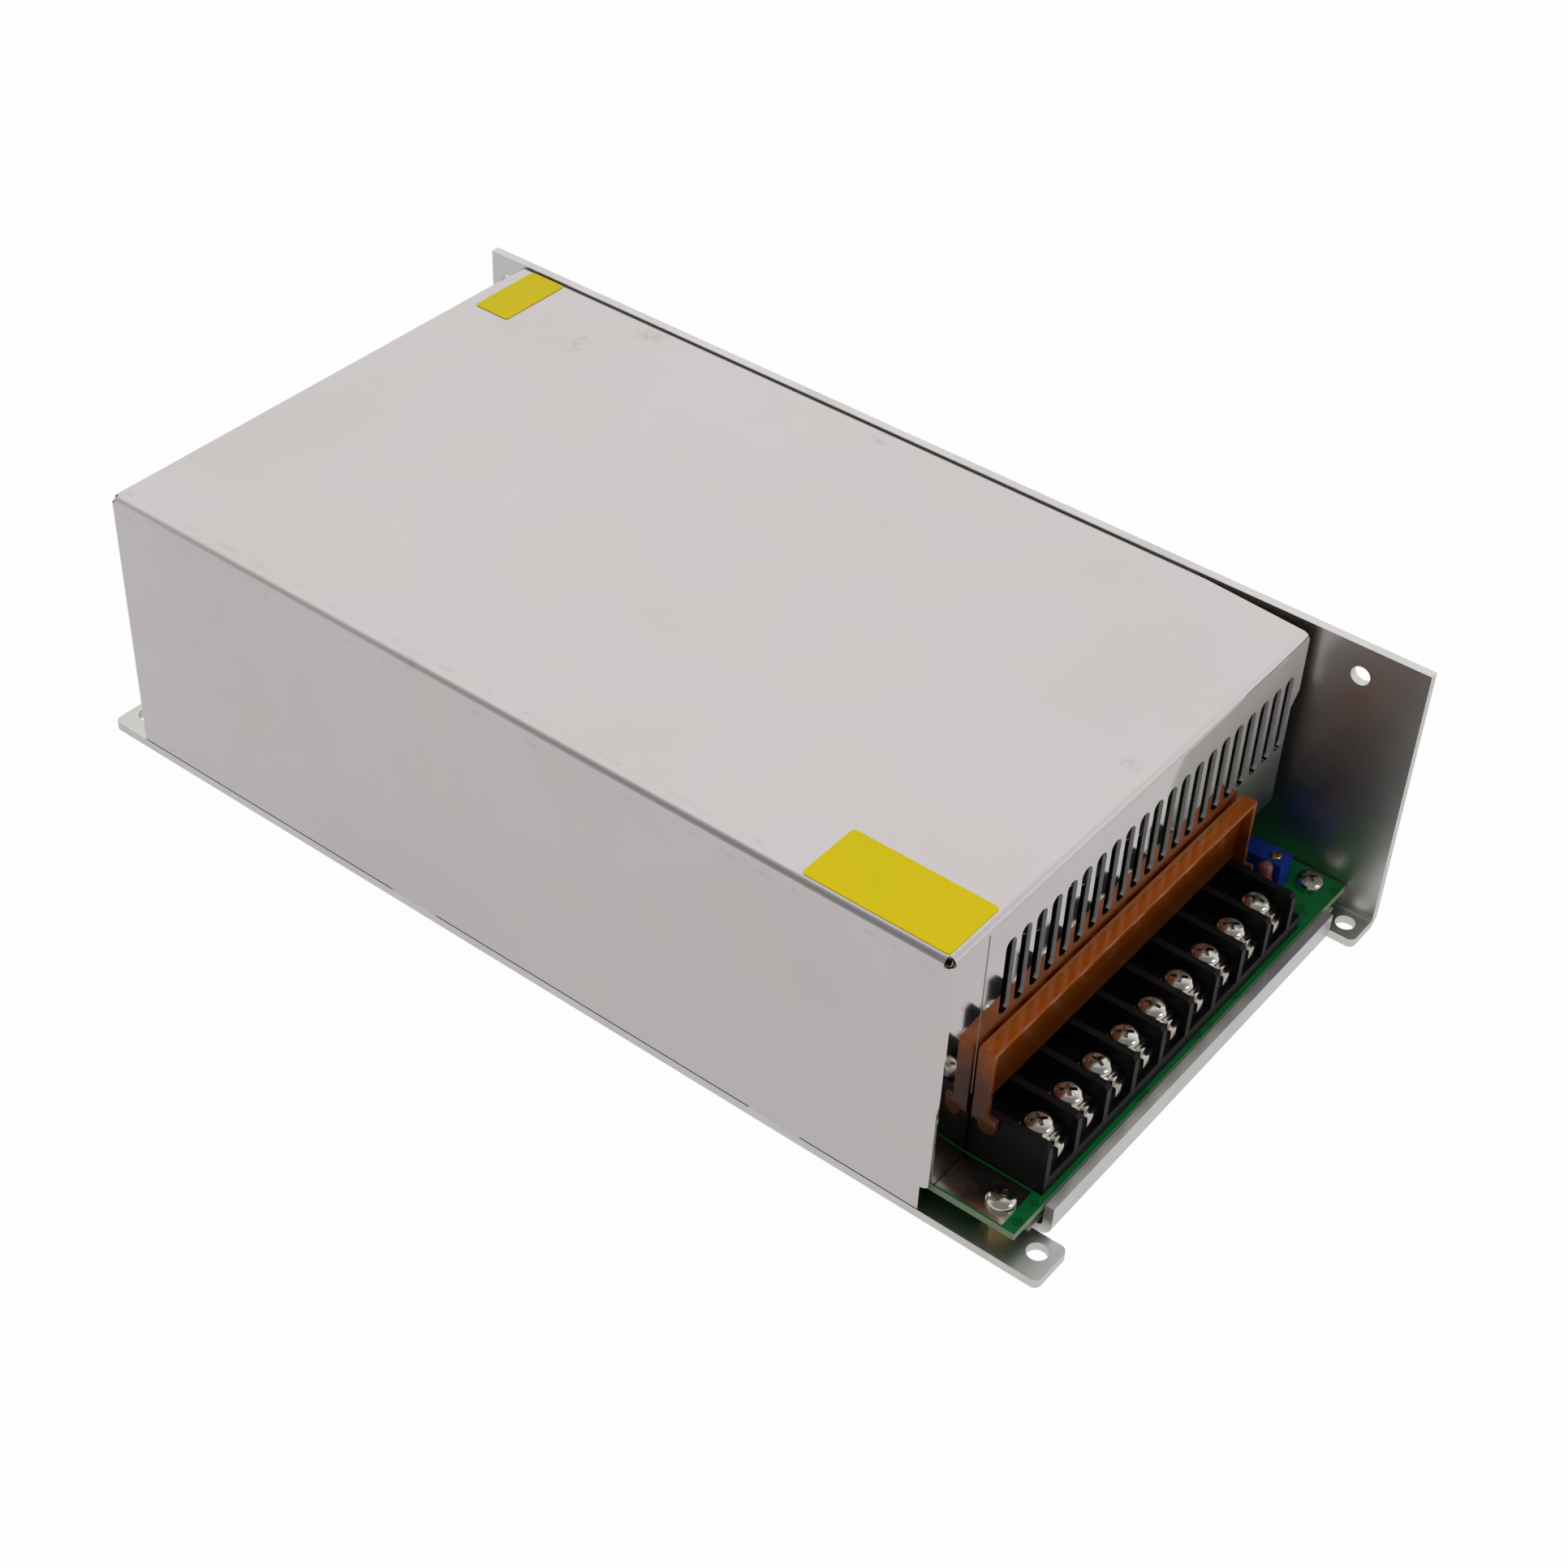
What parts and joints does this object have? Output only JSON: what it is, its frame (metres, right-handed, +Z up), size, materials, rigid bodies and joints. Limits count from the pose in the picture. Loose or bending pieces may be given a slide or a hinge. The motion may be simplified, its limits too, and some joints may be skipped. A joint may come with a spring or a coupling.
{
  "type": "switching power supply",
  "caption": "Enclosed fan-cooled switching power supply in a folded aluminium case, with a barrier terminal block at the front under a flip-up amber cover.",
  "frame": {"origin": "middle of the floor's underside, the bottom centre of the bounding box", "axes": "+Z up, -Y towards the terminals, +X towards the tall chassis wall"},
  "size_m": [0.124, 0.24, 0.065],
  "materials": {
    "chassis_sheet": "bare folded sheet, satin",
    "cover_sheet": "bare folded sheet, satin",
    "steel": "plated, semi-bright",
    "plated_brass": "tinned",
    "brass": "turned",
    "black_plastic": "moulded",
    "amber_plastic": "clear tinted moulding",
    "blue_plastic": "moulded",
    "red_plastic": "moulded",
    "lamp_lens": "diffused lens",
    "board": "laminate with solder mask",
    "pale_film": "film",
    "label": "plain printed film",
    "capacitor_sleeve": "shrunk sleeve",
    "ferrite": "fired",
    "ferrite_yellow": "painted",
    "winding_tape": "tape",
    "film_yellow": "moulded",
    "ceramic_green": "dipped",
    "copper": "enamelled wire",
    "fuse_glass": "tube with metal caps"
  },
  "bodies": {
    "case": {"base_chassis": "chassis_sheet", "top_cover": "cover_sheet", "cover_screws": "steel", "insulating_sheet": "pale_film", "board_standoffs": "brass", "circuit_board": "board", "board_screws": "steel", "terminal_block": "black_plastic", "terminal_contacts": "plated_brass", "trimmer_body": "blue_plastic", "indicator_lamp": "lamp_lens", "bulk_capacitors": "capacitor_sleeve", "transformer_core": "ferrite", "transformer_winding": "winding_tape", "output_choke_core": "ferrite_yellow", "output_choke_winding": "copper", "output_capacitors": "capacitor_sleeve", "line_choke_core": "ferrite", "line_choke_winding": "copper", "film_capacitors": "film_yellow", "disc_capacitors": "blue_plastic", "inrush_limiter": "ceramic_green", "fuse": "fuse_glass", "fuse_clips": "plated_brass", "bridge_rectifier": "black_plastic", "switching_transistors": "black_plastic", "insulating_pad": "pale_film", "clamp_bar": "chassis_sheet", "clamp_screws": "steel", "output_rectifiers": "black_plastic", "heat_sink": "chassis_sheet", "control_board": "board", "control_chip": "black_plastic", "fan_frame": "black_plastic", "fan_screws": "steel", "selector_body": "black_plastic", "front_label": "label", "rear_label": "label"},
    "lid": {"terminal_cover": "amber_plastic"},
    "trimmer": {"trimmer_screw": "brass"},
    "fan_wheel": {"fan_rotor": "black_plastic"},
    "selector": {"selector_slider": "red_plastic"},
    "washer_1": {"terminal_washer_1": "steel"},
    "screw_1": {"terminal_screw_1": "steel"},
    "washer_2": {"terminal_washer_2": "steel"},
    "screw_2": {"terminal_screw_2": "steel"},
    "washer_3": {"terminal_washer_3": "steel"},
    "screw_3": {"terminal_screw_3": "steel"},
    "washer_4": {"terminal_washer_4": "steel"},
    "screw_4": {"terminal_screw_4": "steel"},
    "washer_5": {"terminal_washer_5": "steel"},
    "screw_5": {"terminal_screw_5": "steel"},
    "washer_6": {"terminal_washer_6": "steel"},
    "screw_6": {"terminal_screw_6": "steel"},
    "washer_7": {"terminal_washer_7": "steel"},
    "screw_7": {"terminal_screw_7": "steel"},
    "washer_8": {"terminal_washer_8": "steel"},
    "screw_8": {"terminal_screw_8": "steel"},
    "washer_9": {"terminal_washer_9": "steel"},
    "screw_9": {"terminal_screw_9": "steel"}
  },
  "joints": [
    {"name": "lid_hinge", "type": "hinge", "parent": "case", "child": "lid", "pos_m": [-0.0058, -0.0993, 0.0187], "axis": [-1, 0, 0], "range_deg": [-90, 0]},
    {"name": "trimmer_turn", "type": "hinge", "parent": "case", "child": "trimmer", "pos_m": [0.05055, -0.1006, 0.015], "axis": [0, 0, 1], "range_deg": [-135, 135]},
    {"name": "fan_spin", "type": "hinge", "parent": "case", "child": "fan_wheel", "pos_m": [0, 0.0975, 0.03275], "axis": [0, 1, 0], "continuous": true},
    {"name": "selector_slide", "type": "slide", "parent": "case", "child": "selector", "axis": [0, 1, 0], "range_m": [0, 0.004]},
    {"name": "washer_1_lift", "type": "slide", "parent": "case", "child": "washer_1", "axis": [0, 0, 1], "range_m": [0, 0.0035]},
    {"name": "screw_1_turn", "type": "hinge", "parent": "washer_1", "child": "screw_1", "pos_m": [-0.0438, -0.106, 0.0172], "axis": [0, 0, 1], "range_deg": [0, 1800]},
    {"name": "washer_2_lift", "type": "slide", "parent": "case", "child": "washer_2", "axis": [0, 0, 1], "range_m": [0, 0.0035]},
    {"name": "screw_2_turn", "type": "hinge", "parent": "washer_2", "child": "screw_2", "pos_m": [-0.0343, -0.106, 0.0172], "axis": [0, 0, 1], "range_deg": [0, 1800]},
    {"name": "washer_3_lift", "type": "slide", "parent": "case", "child": "washer_3", "axis": [0, 0, 1], "range_m": [0, 0.0035]},
    {"name": "screw_3_turn", "type": "hinge", "parent": "washer_3", "child": "screw_3", "pos_m": [-0.0248, -0.106, 0.0172], "axis": [0, 0, 1], "range_deg": [0, 1800]},
    {"name": "washer_4_lift", "type": "slide", "parent": "case", "child": "washer_4", "axis": [0, 0, 1], "range_m": [0, 0.0035]},
    {"name": "screw_4_turn", "type": "hinge", "parent": "washer_4", "child": "screw_4", "pos_m": [-0.0153, -0.106, 0.0172], "axis": [0, 0, 1], "range_deg": [0, 1800]},
    {"name": "washer_5_lift", "type": "slide", "parent": "case", "child": "washer_5", "axis": [0, 0, 1], "range_m": [0, 0.0035]},
    {"name": "screw_5_turn", "type": "hinge", "parent": "washer_5", "child": "screw_5", "pos_m": [-0.0058, -0.106, 0.0172], "axis": [0, 0, 1], "range_deg": [0, 1800]},
    {"name": "washer_6_lift", "type": "slide", "parent": "case", "child": "washer_6", "axis": [0, 0, 1], "range_m": [0, 0.0035]},
    {"name": "screw_6_turn", "type": "hinge", "parent": "washer_6", "child": "screw_6", "pos_m": [0.0037, -0.106, 0.0172], "axis": [0, 0, 1], "range_deg": [0, 1800]},
    {"name": "washer_7_lift", "type": "slide", "parent": "case", "child": "washer_7", "axis": [0, 0, 1], "range_m": [0, 0.0035]},
    {"name": "screw_7_turn", "type": "hinge", "parent": "washer_7", "child": "screw_7", "pos_m": [0.0132, -0.106, 0.0172], "axis": [0, 0, 1], "range_deg": [0, 1800]},
    {"name": "washer_8_lift", "type": "slide", "parent": "case", "child": "washer_8", "axis": [0, 0, 1], "range_m": [0, 0.0035]},
    {"name": "screw_8_turn", "type": "hinge", "parent": "washer_8", "child": "screw_8", "pos_m": [0.0227, -0.106, 0.0172], "axis": [0, 0, 1], "range_deg": [0, 1800]},
    {"name": "washer_9_lift", "type": "slide", "parent": "case", "child": "washer_9", "axis": [0, 0, 1], "range_m": [0, 0.0035]},
    {"name": "screw_9_turn", "type": "hinge", "parent": "washer_9", "child": "screw_9", "pos_m": [0.0322, -0.106, 0.0172], "axis": [0, 0, 1], "range_deg": [0, 1800]}
  ],
  "couplings": [
    {"joint": "screw_1_turn", "follows": "washer_1_lift", "rad_per_m": 8975},
    {"joint": "screw_2_turn", "follows": "washer_2_lift", "rad_per_m": 8975},
    {"joint": "screw_3_turn", "follows": "washer_3_lift", "rad_per_m": 8975},
    {"joint": "screw_4_turn", "follows": "washer_4_lift", "rad_per_m": 8975},
    {"joint": "screw_5_turn", "follows": "washer_5_lift", "rad_per_m": 8975},
    {"joint": "screw_6_turn", "follows": "washer_6_lift", "rad_per_m": 8975},
    {"joint": "screw_7_turn", "follows": "washer_7_lift", "rad_per_m": 8975},
    {"joint": "screw_8_turn", "follows": "washer_8_lift", "rad_per_m": 8975},
    {"joint": "screw_9_turn", "follows": "washer_9_lift", "rad_per_m": 8975}
  ]
}
